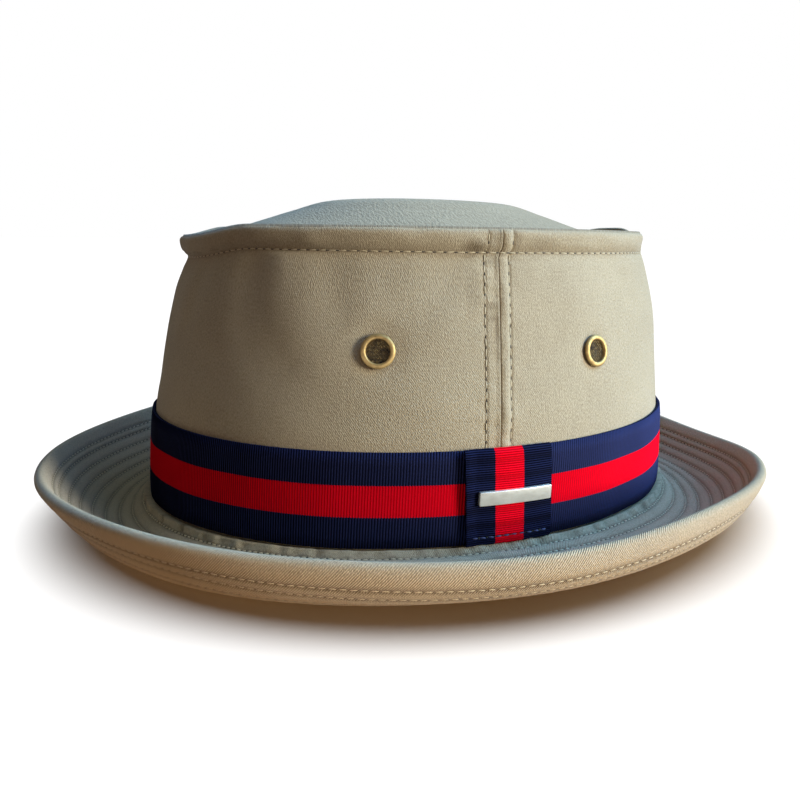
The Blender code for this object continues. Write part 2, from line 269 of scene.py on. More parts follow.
def brim_puff(angle, distance, places):
    """How far the quilted cloth swells between its rings of stitching, and how deep in a crease it is."""
    row = 0
    while row < len(places) - 1 and distance > places[row]:
        row += 1
    low = places[row - 1] if row else 0.0
    share = min(max((distance - low) / (places[row] - low), 0.0), 1.0)
    swell = (4 * share * (1 - share)) ** 0.6
    # The crease is painted shade beside each ring of stitching, in the troughs of the root's puckers and
    # beside the last row before the edge's roll.
    crease = 1 - min(distance - low if row else 1.0, abs(places[row] - distance)) / crease_width
    ripple = round_noise(angle, pucker_radius / pucker_pitch, distance / 0.011 + 4.0 + 7.3 * row)
    inner = 1 - ramp(distance, 0.006, 0.020)
    if row == len(places) - 1:
        rise = roll_puff * math.sin(math.pi * min(share, 0.5)) ** 0.7
        return rise + ripple * 0.00006 * swell, 0.8 * max(1 - (distance - low) / 0.0012, 0.0)
    if row == 0:
        welt = root_welt * (1 - share) ** 1.5
        folds = root_folds * pucker * ripple * (0.35 + 0.65 * swell)
        return welt + folds, max(crease, -root_shade * ripple, 0.0)
    rise = quilt_puff * swell
    return rise + pucker * ripple * swell * (0.30 + 0.70 * inner), max(crease, 0.0)


def brim_profile(angle):
    """The closed outline of the brim's section, as points with their crease."""
    places = brim_row_places(angle)
    stops = [0.0] + places
    upper = []
    for low, high in zip(stops, stops[1:]):
        upper += [low + (high - low) * step / row_steps for step in range(row_steps)]
    inner_wall = -(wall_cloth + wall_gap)
    outline = []
    neck = (seat_height + neck_height - crown_foot) / crown_height
    # The neck and the root are given painted shade where the brim meets the crown.
    for share in (1.0, 0.5, 0.0):
        place = crown_point(angle, neck * share, inner_wall)
        place.z = seat_height + neck_fold + (neck_height - neck_fold) * share
        outline.append((place, 0.3))
    for share in (0.15, 0.6):
        place = crown_point(angle, 0.0, inner_wall + (brim_root - inner_wall) * share)
        place.z = seat_height + root_welt * ramp(share, 0.2, 1.0) * 0.5
        outline.append((place, 0.5))
    for distance in upper:
        rise, crease = brim_puff(angle, distance, places)
        outline.append((brim_place(angle, distance, 1, rise), crease))
    top_edge = brim_place(angle, places[-1], 1, roll_puff)
    low_edge = brim_place(angle, places[-1], -1, roll_puff * under_share)
    middle = (top_edge + low_edge) / 2
    radius = (top_edge - low_edge) / 2
    outwards = brim_place(angle, places[-1], 1, 0) - brim_place(angle, places[-1] - 0.001, 1, 0)
    outwards = outwards.normalized() * radius.length
    for step in range(edge_steps + 1):
        turn = math.pi * step / edge_steps
        place = middle + radius * math.cos(turn) + outwards * math.sin(turn)
        outline.append((place, 0.0))
    for distance in upper[:0:-1]:
        rise, crease = brim_puff(angle + under_turn, distance, places)
        under = rise if distance > inner_row else rise * 0.2
        outline.append((brim_place(angle, distance, -1, under * under_share), crease))
    for share in (0.0, 0.5, 1.0):
        place = crown_point(angle, neck * share, inner_wall - brim_cloth)
        place.z = seat_height - brim_cloth * (1 - share) + neck_height * share
        outline.append((place, 0.3))
    return outline


def lay_cloth(mesh, along, across, crease):
    """Cloth coordinates in metres as a UV map, and how deep in a crease each point is, which the twill
    paints as shade.
    """
    shade = mesh.attributes.new("crease", "FLOAT", "POINT")
    shade.data.foreach_set("value", np.clip(crease, 0, 1).astype(np.float32))
    corners = np.empty(len(mesh.loops), int)
    mesh.loops.foreach_get("vertex_index", corners)
    while mesh.uv_layers:
        mesh.uv_layers.remove(mesh.uv_layers[0])
    layer = mesh.uv_layers.new(name="cloth")
    places = np.stack((along[corners], across[corners]), axis=-1)
    layer.data.foreach_set("uv", places.ravel().astype(np.float32))


def shape_sheet(name, columns, rows, place, length=None):
    """A sheet of cloth started from a grid. Place gives a point and its crease at (column, row)."""
    bpy.ops.object.select_all(action="DESELECT")
    bpy.ops.mesh.primitive_grid_add(x_subdivisions=len(columns) - 1, y_subdivisions=len(rows) - 1, size=2.0)
    sheet = bpy.context.object
    sheet.name = name
    mesh = sheet.data
    starts = np.empty(len(mesh.vertices) * 3)
    mesh.vertices.foreach_get("co", starts)
    starts = starts.reshape(-1, 3)
    column = np.rint((starts[:, 0] + 1) / 2 * (len(columns) - 1)).astype(int)
    row = np.rint((starts[:, 1] + 1) / 2 * (len(rows) - 1)).astype(int)
    table = [[place(across, up) for up in rows] for across in columns]
    points = np.array([[tuple(point) for point, _ in line] for line in table])
    creases = np.array([[crease for _, crease in line] for line in table])
    mesh.vertices.foreach_set("co", points[column, row].ravel())
    run = np.linspace(0, length, len(columns)) if length else run_along(points[:, len(rows) // 2])
    climb = run_along(points[len(columns) // 2])
    lay_cloth(mesh, run[column], climb[row], creases[column, row])
    return sheet


def shape_ring(name, stations, profile, pitch_radius):
    """A closed ring of cloth, a sheet that meets itself both ways. Profile gives its section."""
    sections = [profile(2 * math.pi * station / stations) for station in range(stations)]
    count = len(sections[0])
    ring = shape_sheet(name, range(stations + 1), range(count + 1),
                       lambda station, row: sections[station % stations][row % count],
                       2 * math.pi * pitch_radius)
    bpy.ops.object.mode_set(mode="EDIT")
    bpy.ops.mesh.select_all(action="SELECT")
    bpy.ops.mesh.remove_doubles(threshold=0.0000005)
    bpy.ops.mesh.normals_make_consistent(inside=False)
    bpy.ops.object.mode_set(mode="OBJECT")
    bpy.ops.object.shade_smooth()
    return ring


class NodeSheet:
    """A material's nodes, added one by one and joined by their sockets."""

    def __init__(self, name):
        self.material = bpy.data.materials.new(name)
        self.material.use_nodes = True
        self.tree = self.material.node_tree
        self.shader = self.tree.nodes["Principled BSDF"]

    def add(self, kind, **values):
        """A node with its properties and constant inputs set, and other nodes' outputs joined to it."""
        node = self.tree.nodes.new(kind)
        for key, value in values.items():
            if key.startswith("in_"):
                name = key[3:]
                socket = node.inputs[int(name)] if name.isdigit() else node.inputs[name.replace("_", " ")]
                self.join(value, socket)
            else:
                setattr(node, key, value)
        return node

    def join(self, value, socket):
        """Set a socket to a constant, or link an output to it."""
        if isinstance(value, bpy.types.NodeSocket):
            self.tree.links.new(value, socket)
        else:
            socket.default_value = value

    def math(self, operation, first, second=0.0, third=0.0):
        """A maths node's result."""
        node = self.add("ShaderNodeMath", operation=operation, in_0=first, in_1=second, in_2=third)
        return node.outputs[0]

    def stripe(self, coordinates, direction, pitch):
        """Even waves from -1 to 1 along a direction, with a pitch in metres."""
        reach = [value * 2 * math.pi / pitch for value in direction]
        dot = self.add("ShaderNodeVectorMath", operation="DOT_PRODUCT", in_0=coordinates, in_1=reach)
        return self.math("SINE", dot.outputs["Value"])

    def grain(self, coordinates, stretch, detail=2.0, roughness=0.5):
        """Noise from 0 to 1 with its lengths along X, Y and Z in metres."""
        scale = [1 / size for size in stretch]
        place = self.add("ShaderNodeMapping", in_Vector=coordinates, in_Scale=scale)
        found = self.add("ShaderNodeTexNoise", in_Vector=place.outputs[0], in_Scale=1.0, in_Detail=detail,
                         in_Roughness=roughness)
        return found.outputs["Fac"]

    def held(self, value):
        """A value held between 0 and 1."""
        return self.add("ShaderNodeClamp", in_Value=value).outputs[0]

    def blend(self, factor, first, second):
        """A mix of two colours, each a plain red, green and blue or another node's output."""
        mix = self.add("ShaderNodeMix", data_type="RGBA")
        for value, number in ((factor, 0), (first, 6), (second, 7)):
            self.join((*value, 1.0) if isinstance(value, tuple) else value, mix.inputs[number])
        return mix.outputs[2]

    def colour(self, factor, first, second):
        """Colour the surface with a mix of two colours."""
        self.join(self.blend(factor, first, second), self.shader.inputs["Base Color"])

    def roughen(self, grain, share, start):
        """Roughness that follows a grain."""
        self.join(self.math("MULTIPLY_ADD", grain, share, start), self.shader.inputs["Roughness"])

    def emboss(self, height, strength, distance):
        """Fine relief on the surface from a height."""
        bump = self.add("ShaderNodeBump", in_Strength=strength, in_Distance=distance, in_Height=height)
        self.join(bump.outputs[0], self.shader.inputs["Normal"])


def cotton_twill(name, lift=1.0, rib_tone=0.02, rib_rise=0.05, yarn_length=0.00050):
    """Cotton twill: slanting ribs, uneven yarns, soft stains of tone and painted shade in its creases."""
    sheet = NodeSheet(name)
    cloth = sheet.add("ShaderNodeUVMap", uv_map="cloth").outputs[0]
    twill = sheet.stripe(cloth, (0.80, 0.60, 0.0), twill_pitch)
    yarn = sheet.grain(cloth, (yarn_length, 0.00085, 1.0), 3.0, 0.65)
    slub = sheet.grain(cloth, (0.0016, 0.0100, 1.0), 2.0, 0.6)
    tone = sheet.grain(cloth, (0.034, 0.026, 1.0), 3.0, 0.55)
    crease = sheet.add("ShaderNodeAttribute", attribute_name="crease").outputs["Fac"]
    yarns = sheet.math("MULTIPLY_ADD", yarn, 1.30, -0.65)
    yarns = sheet.math("MULTIPLY_ADD", twill, rib_tone, yarns)
    slubs = sheet.math("MULTIPLY_ADD", slub, 0.22, -0.11)
    tones = sheet.math("MULTIPLY_ADD", tone, 0.34, -0.17)
    light = sheet.math("ADD", sheet.math("ADD", yarns, slubs), tones)
    depth = sheet.math("SUBTRACT", 0.30, light)
    # The crease attribute darkens the twill: painted shade in creases, grooves, stitch rows and round the
    # vents.
    depth = sheet.math("MULTIPLY_ADD", crease, 0.70, depth)
    # lift makes lighter copies of the same twill for the brim and the walls: painted light, for the more
    # light that they catch.
    bright = tuple(min(value * 1.16 * lift, 1.0) for value in twill_tan)
    sheet.colour(sheet.held(depth), bright, twill_shade)
    sheet.emboss(sheet.math("MULTIPLY_ADD", twill, rib_rise, yarn), 0.90, 0.00042)
    sheet.roughen(yarn, 0.14, 0.76)
    sheet.shader.inputs["Specular IOR Level"].default_value = 0.25
    sheet.shader.inputs["Sheen Weight"].default_value = 0.22
    sheet.shader.inputs["Sheen Roughness"].default_value = 0.45
    return sheet.material


def finish_piece(piece, material, slot, *nodes):
    """Give a finished piece its material, attach it to the root and hide the CAD nodes that it stands for.
    Its slot is not used.
    """
    piece.data.materials.clear()
    piece.data.materials.append(material)
    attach(piece, "root")
    if nodes:
        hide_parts(*nodes)


brim = shape_ring("brim_quilted", brim_stations, brim_profile, brim_pitch_radius)
# The brim's copy of the twill is painted lighter than the walls' and the top's.
brim_material = cotton_twill("brim_cotton_twill", 1.30, 0.17, 0.24)
finish_piece(brim, brim_material, "brim_twill", "brim")


# Brim stitching. Lockstitch in cotton thread of the cloth's own colour, nine
# rings through all the layers, so that each ring shows above and below.
thread_width = 0.00040
thread_height = 0.00030
thread_share = 0.74
hole_share = 0.42
hole_width = 0.00046
hole_height = 0.00030
thread_tan = (0.68, 0.58, 0.40)
thread_shade = (0.32, 0.24, 0.14)
needle_hole_shade = (0.035, 0.022, 0.012)


def take_shape(piece):
    """The points and faces of a piece, which is then removed."""
    points = np.array([tuple(vertex.co) for vertex in piece.data.vertices])
    faces = [tuple(polygon.vertices) for polygon in piece.data.polygons]
    bpy.data.objects.remove(piece)
    return points, faces


def thread_bead(sides, rings):
    """One stitch of unit length along X: a spindle with a few sides, flat end to end."""
    bpy.ops.object.select_all(action="DESELECT")
    bpy.ops.mesh.primitive_uv_sphere_add(segments=sides, ring_count=rings, radius=0.5,
                                         rotation=(0, math.pi / 2, 0))
    bpy.ops.object.transform_apply(location=False, rotation=True, scale=False)
    points, faces = take_shape(bpy.context.object)
    points[:, 0] = np.sign(points[:, 0]) * np.abs(points[:, 0] * 2) ** 0.7 / 2
    return points, faces


stitch_bead = thread_bead(5, 4)
dip_bead = thread_bead(4, 3)


def join_copies(name, copies, shape_faces):
    """One piece from copies of a shape: the points of each copy, and the faces of the shape."""
    faces = []
    for number in range(len(copies)):
        start = number * len(copies[0])
        faces += [tuple(start + index for index in face) for face in shape_faces]
    mesh = bpy.data.meshes.new(name)
    mesh.from_pydata(np.concatenate(copies).tolist(), [], faces)
    piece = bpy.data.objects.new(name, mesh)
    bpy.context.scene.collection.objects.link(piece)
    mesh.shade_smooth()
    return piece


def string_beads(name, bead, beads, material, slot):
    """Copies of a bead as one piece. Each is its middle and its three half axes, doubled."""
    bead_points, bead_faces = bead
    copies = [bead_points @ np.array(axes) + np.array(middle) for middle, axes in beads]
    finish_piece(join_copies(name, copies, bead_faces), material, slot)


def sew(name, stitches, material, dip_material, slot, size=1.0):
    """Rows of stitches, and dark beads between them, painted shade in the holes where the needle went in.

    A stitch is its start, its end and the face's normal.
    """
    threads, dips = [], []
    wobble = random.Random(7)
    for start, end, normal in stitches:
        along = end - start
        normal = normal.normalized() * size
        sideways = normal.cross(along).normalized() * size
        lean = sideways * wobble.uniform(-0.06, 0.06) * along.length
        reach = along * thread_share * wobble.uniform(0.95, 1.04) + lean
        threads.append(((start + end) / 2, (reach, sideways * thread_width, normal * thread_height)))
        dip = along * hole_share * wobble.uniform(0.7, 1.15)
        middle = start - normal * thread_height * 0.20
        dips.append((middle, (dip, sideways * hole_width, normal * hole_height)))
    string_beads(name, stitch_bead, threads, material, slot)
    if dip_material:
        string_beads(name + "_dips", dip_bead, dips, dip_material, slot)


def cotton_thread(name, light, shade):
    """Twisted cotton thread with a low sheen."""
    sheet = NodeSheet(name)
    place = sheet.add("ShaderNodeTexCoord").outputs["Object"]
    twist = sheet.grain(place, (0.0005, 0.0005, 0.0005), 2.0)
    tone = sheet.grain(place, (0.02, 0.02, 0.02), 2.0)
    depth = sheet.math("MULTIPLY_ADD", twist, 0.5, sheet.math("MULTIPLY_ADD", tone, 0.5, -0.20))
    sheet.colour(depth, light, shade)
    sheet.emboss(twist, 0.4, 0.0001)
    sheet.shader.inputs["Roughness"].default_value = 0.62
    sheet.shader.inputs["Sheen Weight"].default_value = 0.15
    return sheet.material


def brim_stitches(side):
    """Stitches of every ring on one side of the brim."""
    stitches = []
    count = round(2 * math.pi * brim_pitch_radius / brim_stitch)
    for row in range(quilted_rows + 1 + len(edge_rows)):
        places = []
        for step in range(count):
            angle = 2 * math.pi * (step + 0.37 * row) / count
            rows = brim_row_places(angle)
            distance = rows[row]
            if side > 0:
                rise = brim_puff(angle, distance, rows)[0]
            else:
                rise = brim_puff(angle + under_turn, distance, rows)[0] * under_share
            here = brim_place(angle, distance, side, rise + thread_height * 0.25)
            inward = brim_place(angle, distance, side, rise - 0.0005)
            places.append((here, here - inward))
        for (here, normal), (there, _) in zip(places, places[1:] + places[:1]):
            if min(here.z, there.z) > thread_height:
                stitches.append((here, there, normal))
    return stitches


# The dark beads in the needle holes are painted shade.
needle_dips = cotton_thread("needle_dip_shade", needle_hole_shade, needle_hole_shade)
brim_thread = cotton_thread("brim_cotton_thread", thread_tan, thread_shade)
sew("brim_stitches_upper", brim_stitches(1), brim_thread, needle_dips, "brim_twill", 1.7)
sew("brim_stitches_under", brim_stitches(-1), brim_thread, None, "brim_twill", 1.1)


# Crown walls. Two half walls of the same twill, sewn together in a seam at
# each side that is pressed open and topstitched on both sides of its groove.
# The wall is pinched in under the rim, where soft wrinkles start.
seam_front_row = 0.0046
seam_back_row = 0.0037
seam_jog = 0.0011
wall_stitch = 0.0031
seam_raise = 0.00022
fold_raise = 0.00030
fold_width = 0.0016
seam_roll = 0.00050
seam_groove = 0.00040
groove_width = 0.0006
row_groove = 0.00026
row_width = 0.0009
seam_pucker = 0.00034
wrinkle = 0.00055
swell = 0.00065
rim_waver = 0.00045
rim_round = 0.0013
vent_angle = math.radians(22.5)
vent_raise_front = 0.0615
vent_raise_back = 0.0592
vent_radius = 0.0053
vent_dimple = 0.00035
vent_hole = 0.0042
fold_radius = 0.092
fold_end = 0.905
pinch_width = 0.0010
wall_columns = 270
seam_columns = 28
seam_step = 0.0002
wall_rows = 104
rim_rows = 28
rim_share = 0.13
vent_places = (
    (-vent_angle, vent_raise_front),
    (vent_angle, vent_raise_back),
    (math.pi - vent_angle, vent_raise_back),
    (math.pi + vent_angle, vent_raise_front),
)
vent_centres = [crown_point(angle, height / crown_height, 0.0) for angle, height in vent_places]


crown_folds = (
    # direction in degrees, level, half length along the wall, half height, slant, rise
    (-41, 0.82, 0.0075, 0.0170, -0.45, 0.00055),
    (-51, 0.80, 0.0090, 0.0170, -0.45, -0.00050),
    (-30, 0.84, 0.0060, 0.0140, 0.40, -0.00025),
    (-12, 0.84, 0.0050, 0.0110, 0.55, -0.00025),
    (-6, 0.80, 0.0045, 0.0100, 0.60, 0.00025),
    (-68, 0.83, 0.0040, 0.0110, 0.10, -0.00040),
    (-74, 0.80, 0.0040, 0.0140, 0.10, 0.00035),
    (13, 0.85, 0.0060, 0.0110, -0.40, 0.00025),
    (30, 0.84, 0.0100, 0.0150, -0.30, -0.00025),
    (150, 0.82, 0.0080, 0.0160, 0.30, -0.00050),
    (215, 0.80, 0.0090, 0.0180, -0.30, 0.00050),
    (232, 0.83, 0.0080, 0.0150, -0.30, -0.00050),
)
# Spots of painted shade beside the side seams, in the rim and lower down.
seam_shade_spots = (
    # along the wall behind the seam, level, half length, half height, depth
    (-0.0085, 0.936, 0.0036, 0.0026, 0.90),
    (-0.0022, 0.955, 0.0020, 0.0060, 0.50),
    (0.0052, 0.945, 0.0016, 0.0040, 0.45),
    (-0.0023, 0.895, 0.0022, 0.0012, 0.40),
    (-0.0023, 0.760, 0.0022, 0.0010, 0.50),
    (-0.0023, 0.722, 0.0022, 0.0009, 0.40),
    (-0.0080, 0.800, 0.0026, 0.0050, 0.30),
    (0.0130, 0.940, 0.0060, 0.0030, 0.30),
)


def soft_spot(across, up, length, height):
    """A soft bump from 1 in the middle of a spot to 0 outside it."""
    return max(1 - (across / length) ** 2 - (up / height) ** 2, 0.0) ** 1.5


def seam_place(level):
    """How far the side seams lie behind the middle of the crown, which they do only in the rim."""
    return seam_jog * ramp(level, pinch_level - 0.02, pinch_level + 0.02)


def seam_relief(distance, height):
    """Relief and crease of a side seam at a distance behind its line: fold, groove and roll."""
    away = abs(distance)
    row = seam_back_row if distance > 0 else seam_front_row
    ripple = noise.noise(Vector((distance / 0.007, height / 0.0024, 4.4)))
    relief = seam_pucker * ripple * (1 - ramp(away, row, row + 0.005)) * ramp(away, 0.0, 0.0016)
    valley = max(1 - abs(away - row) / row_width, 0.0)
    # The crease is painted shade along the stitch rows and in the groove.
    crease = 0.35 * valley
    if distance > 0:
        relief += seam_roll * math.sin(math.pi * min(away / row, 1.0)) ** 0.8
        groove = max(1 - away / groove_width, 0.0)
        relief -= seam_groove * groove ** 2
        crease = max(crease, groove ** 0.5)
    else:
        relief += seam_raise * (1 - ramp(away, row - 0.0004, row + 0.0010))
        relief += fold_raise * (1 - ramp(away, 0.0, fold_width))
    return relief - row_groove * valley, crease


def crown_cloth(angle, level):
    """How far the wall's cloth stands off its plain face, and how deep in a crease it is."""
    height = level * crown_height
    frontal = 0.5 - 0.5 * math.sin(angle)
    below_pinch = 1 - ramp(level, fold_end, pinch_level)
    plain = ramp(level, 0.34, 0.46) * below_pinch
    folds = round_noise(angle + height * 1.5, 7.3, height / 0.050 + 3.1)
    slants = round_noise(angle + height * 9.5, 2.6, height / 0.030 + 8.4)
    under_rim = ramp(level, 0.50, 0.86) * below_pinch
    offset = wrinkle * folds * under_rim * (0.35 + 0.75 * frontal)
    offset += swell * slants * plain * (0.45 + 0.65 * frontal)
    for direction, middle, length, tall, slant, rise in crown_folds:
        turn = (math.degrees(angle) - direction + 180) % 360 - 180
        up = (level - middle) * crown_height
        across = math.radians(turn) * fold_radius - slant * up
        offset += rise * soft_spot(across, up, 2 * length, 2 * tall) * below_pinch
    nearest = min((crown_point(angle, level, 0.0) - centre).length for centre in vent_centres)
    offset *= ramp(nearest, 0.0060, 0.0130)
    offset -= vent_dimple * (1 - ramp(nearest, vent_radius * 0.9, vent_radius * 1.9))
    # Painted shade in the dimple round each vent.
    crease = 0.35 * (1 - ramp(nearest, vent_radius, vent_radius + 0.0016))
    if level > pinch_level:
        waver = round_noise(angle, 9.5, height / 0.006 + 1.7)
        offset += rim_waver * waver * ramp(level, pinch_level, 0.95) * (0.6 + 0.6 * frontal)
    distance = crown_outline(level)[0] * math.sin(angle) - seam_place(level)
    relief, seam_crease = seam_relief(distance, height)
    offset += relief
    crease = max(crease, seam_crease)
    # The seam spots darken the twill as painted shade.
    for behind, middle, length, tall, depth in seam_shade_spots:
        up = (level - middle) * crown_height
        crease = max(crease, depth * soft_spot(distance - behind, up, 1.5 * length, 1.5 * tall))
    pinch = max(1 - abs(level - pinch_level) * crown_height / pinch_width, 0.0)
    offset -= row_groove * pinch
    # Painted shade along the pinched groove under the rim.
    crease = max(crease, 0.55 * pinch)
    over = height - (crown_height - rim_round)
    if over > 0:
        offset -= rim_round - math.sqrt(max(rim_round ** 2 - over ** 2, 0.0))
    return offset, crease


def crown_face(angle, level, lift):
    """A point on the wall's cloth, or standing off it."""
    return crown_point(angle, level, crown_cloth(angle, level)[0] + lift)


def wall_angles(start):
    """Angles of a half wall's columns, which lie close together beside its two seams."""
    edge = 0.0001 / crown_half_length
    close = edge + np.arange(seam_columns) * seam_step / crown_half_length
    inner = edge + seam_columns * seam_step / crown_half_length
    plain = np.linspace(inner, math.pi - inner, wall_columns)
    return start + np.concatenate((close, plain, math.pi - close[::-1]))


def wall_place(angle, level):
    """A point of a half wall's cloth and its crease. The seams step back in the rim."""
    turned = angle + seam_place(level) * math.cos(angle) / crown_outline(level)[0]
    offset, crease = crown_cloth(turned, level)
    return crown_point(turned, level, offset), crease


def apply_thickness(piece, thickness):
    """Give a sheet its cloth's thickness, inwards from its face."""
    solid = piece.modifiers.new("cloth", "SOLIDIFY")
    solid.thickness = thickness
    solid.offset = -1
    solid.use_even_offset = True
    bpy.context.view_layer.objects.active = piece
    bpy.ops.object.modifier_apply(modifier=solid.name)


def vent_frame(number):
    """Centre of a vent on the wall and the turn that points its Z axis outwards."""
    angle, height = vent_places[number]
    level = height / crown_height
    step = 0.01
    centre = crown_point(angle, level, 0.0)
    along = crown_point(angle + step, level, 0.0) - crown_point(angle - step, level, 0.0)
    upward = crown_point(angle, level + step, 0.0) - crown_point(angle, level - step, 0.0)
    outward = along.cross(upward).normalized()
    return centre, outward, outward.to_track_quat("Z", "Y")


def cut_vent_hole(wall, number):
    """Cut a vent's round hole through a wall."""
    centre, _, turn = vent_frame(number)
    bpy.ops.object.select_all(action="DESELECT")
    bpy.ops.mesh.primitive_cylinder_add(vertices=32, radius=vent_hole, depth=0.016, location=centre,
                                        rotation=turn.to_euler())
    cutter = bpy.context.object
    boolean = wall.modifiers.new("vent", "BOOLEAN")
    boolean.operation = "DIFFERENCE"
    boolean.object = cutter
    bpy.context.view_layer.objects.active = wall
    bpy.ops.object.modifier_apply(modifier=boolean.name)
    bpy.data.objects.remove(cutter)


# The walls' copy of the twill is painted lighter than the top's.
wall_material = cotton_twill("crown_cotton_twill", 1.14)
plain_levels = np.linspace(0, 1 - rim_share, wall_rows - rim_rows + 1)
wall_levels = np.concatenate((plain_levels, np.linspace(1 - rim_share, 1, rim_rows + 1)[1:]))
for name, node, start, vents in (
    ("crown_wall_back", "crown_panel_back", 0.0, (1, 2)),
    ("crown_wall_front", "crown_panel_front", math.pi, (0, 3)),
):
    wall = shape_sheet(name, wall_angles(start), wall_levels, wall_place)
    apply_thickness(wall, wall_cloth)
    for number in vents:
        cut_vent_hole(wall, number)
    wall.data.shade_smooth()
    finish_piece(wall, wall_material, "wall_twill", node)


# Top panel. One oval of twill, domed in the middle, that sinks into a valley
# and turns up again inside the rim, where it is sewn to the walls.
top_cloth = 0.0014
dome_sink = 0.0010
dome_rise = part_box("crown_top")[1].z - (crown_foot + crown_height) - dome_sink
valley_depth = 0.0082
top_rows = (
    # path, reach towards the wall, dome, valley
    (0.00, 0.000, 1.000, 0.00),
    (0.12, 0.220, 0.985, 0.00),
    (0.24, 0.420, 0.880, 0.00),
    (0.35, 0.560, 0.560, 0.00),
    (0.46, 0.680, 0.250, 0.00),
    (0.57, 0.790, 0.030, 0.10),
    (0.68, 0.880, 0.000, 0.50),
    (0.78, 0.945, 0.000, 0.88),
    (0.86, 0.985, 0.000, 1.00),
    (0.92, 1.000, 0.000, 0.80),
    (1.00, 1.000, 0.000, 0.03),
)
top_stations = 360
top_rings = 64
top_swell = 0.0003
top_ripple = 0.0005


def top_place(angle, path):
    """A point on the top panel, from its middle at 0 to the rim at 1."""
    reach, dome, valley = read_rows(top_rows, path)
    height = crown_height + dome * dome_rise - valley * valley_depth
    level = min(height / crown_height, 1.0)
    edge = crown_point(angle, level, -(wall_cloth + wall_gap))
    shift = crown_outline(level)[2]
    x = edge.x * reach
    y = shift + (edge.y - shift) * reach
    soft = noise.noise(Vector((x / 0.030, y / 0.040, 5.2)))
    fine = round_noise(angle, 7.0, path * 5.0 + 9.7)
    z = crown_foot + height - rim_lift * reach * math.sin(angle) - rim_sag(angle) * ramp(path, 0.70, 0.92)
    z += top_swell * soft * (1 - ramp(path, 0.55, 0.9))
    z += top_ripple * fine * ramp(path, 0.4, 0.7) * (1 - ramp(path, 0.85, 1.0))
    return Vector((x, y, z))


bpy.ops.object.select_all(action="DESELECT")
bpy.ops.mesh.primitive_circle_add(vertices=top_stations, radius=1.0, fill_type="NOTHING")
top = bpy.context.object
top.name = "crown_top_panel"
bpy.ops.object.mode_set(mode="EDIT")
bpy.ops.mesh.select_all(action="SELECT")
for ring in range(top_rings - 1, 0, -1):
    bpy.ops.mesh.extrude_region_move()
    bpy.ops.transform.resize(value=(ring / (ring + 1),) * 3)
bpy.ops.mesh.extrude_region_move()
bpy.ops.mesh.merge(type="CENTER")
bpy.ops.mesh.select_all(action="SELECT")
bpy.ops.mesh.normals_make_consistent(inside=False)
bpy.ops.object.mode_set(mode="OBJECT")
if top.data.polygons[0].normal.z < 0:
    top.data.flip_normals()
creases = []
for vertex in top.data.vertices:
    path = min(math.hypot(vertex.co.x, vertex.co.y), 1.0)
    vertex.co = top_place(math.atan2(vertex.co.y, vertex.co.x), path)
    # Painted shade in the valley and where the panel turns up into the rim.
    valley_shade = ramp(path, 0.80, 0.90) * (1 - ramp(path, 0.90, 0.99))
    creases.append(0.25 * valley_shade + 0.5 * ramp(path, 0.985, 1.0))
places = np.array([tuple(vertex.co) for vertex in top.data.vertices])
lay_cloth(top.data, places[:, 0], places[:, 1], creases)
apply_thickness(top, top_cloth)
top.data.shade_smooth()
top_material = cotton_twill("top_cotton_twill", yarn_length=0.0022)
finish_piece(top, top_material, "top_twill", "crown_top")


# Crown stitching. One row round the rim that holds it pinched, and a row on
# each side of both seams, in the same cotton thread as the brim's.
rim_row_radius = 0.083
seam_row_start = 0.315
seam_row_share = 0.672
seam_count_share = 0.67
thread_raise = 0.00012


def seam_angle(side, offset, level):
    """Angle of a row that runs beside a side seam, offset towards the back."""
    turn = math.asin((offset + seam_place(level)) / crown_outline(level)[0])
    return turn if side > 0 else math.pi - turn


def crown_stitches():
    """Stitches of the rim's row and of the four rows beside the seams."""
    stitches = []
    count = round(2 * math.pi * rim_row_radius / wall_stitch)
    rows = [[(2 * math.pi * step / count, pinch_level) for step in range(count + 1)]]
    steps = round(crown_height * seam_count_share / wall_stitch)
    levels = [seam_row_start + seam_row_share * step / steps for step in range(steps + 1)]
    for side in (1, -1):
        for offset in (-seam_front_row, seam_back_row):
            rows.append([(seam_angle(side, offset, level), level) for level in levels])
    for row in rows:
        for (angle, level), (next_angle, next_level) in zip(row, row[1:]):
            here = crown_face(angle, level, thread_raise)
            there = crown_face(next_angle, next_level, thread_raise)
            normal = (here - crown_face(angle, level, -0.001)).normalized()
            stitches.append((here, there, normal))
    return stitches


crown_thread = cotton_thread("crown_cotton_thread", thread_tan, thread_shade)
sew("crown_stitches", crown_stitches(), crown_thread, needle_dips, "wall_twill")


# Vents. Rolled brass eyelets, antiqued, two on each side of the crown. The
# flange stands on the cloth and a barrel goes through the wall.
vent_bore = 0.0073
vent_wall = 0.0004
vent_dome = 0.0009
vent_reach = 0.0024
vent_seat = 0.00030
vent_sides = 64
brass = (0.58, 0.41, 0.18)
brass_dark = (0.20, 0.12, 0.05)
vent_section = (
    # radius as a share of the outer one, height as a share of the dome's
    (0.980, -0.10),
    (1.000, 0.18),
    (0.990, 0.46),
    (0.955, 0.72),
    (0.900, 0.91),
    (0.835, 1.00),
    (0.770, 0.97),
    (0.720, 0.80),
    (0.695, 0.45),
    (0.690, -0.10),
)


def antique_brass(name):
    """Brass with a brown patina that is rubbed bright in patches."""
    sheet = NodeSheet(name)
    place = sheet.add("ShaderNodeTexCoord").outputs["Object"]
    patina = sheet.grain(place, (0.0016, 0.0016, 0.0016), 4.0, 0.6)
    pits = sheet.grain(place, (0.00035, 0.00035, 0.00035), 2.0, 0.6)
    wear = sheet.math("MULTIPLY_ADD", patina, 1.5, -0.42)
    sheet.colour(sheet.held(wear), brass, brass_dark)
    sheet.shader.inputs["Metallic"].default_value = 1.0
    sheet.roughen(patina, 0.25, 0.48)
    sheet.emboss(pits, 0.35, 0.0001)
    return sheet.material


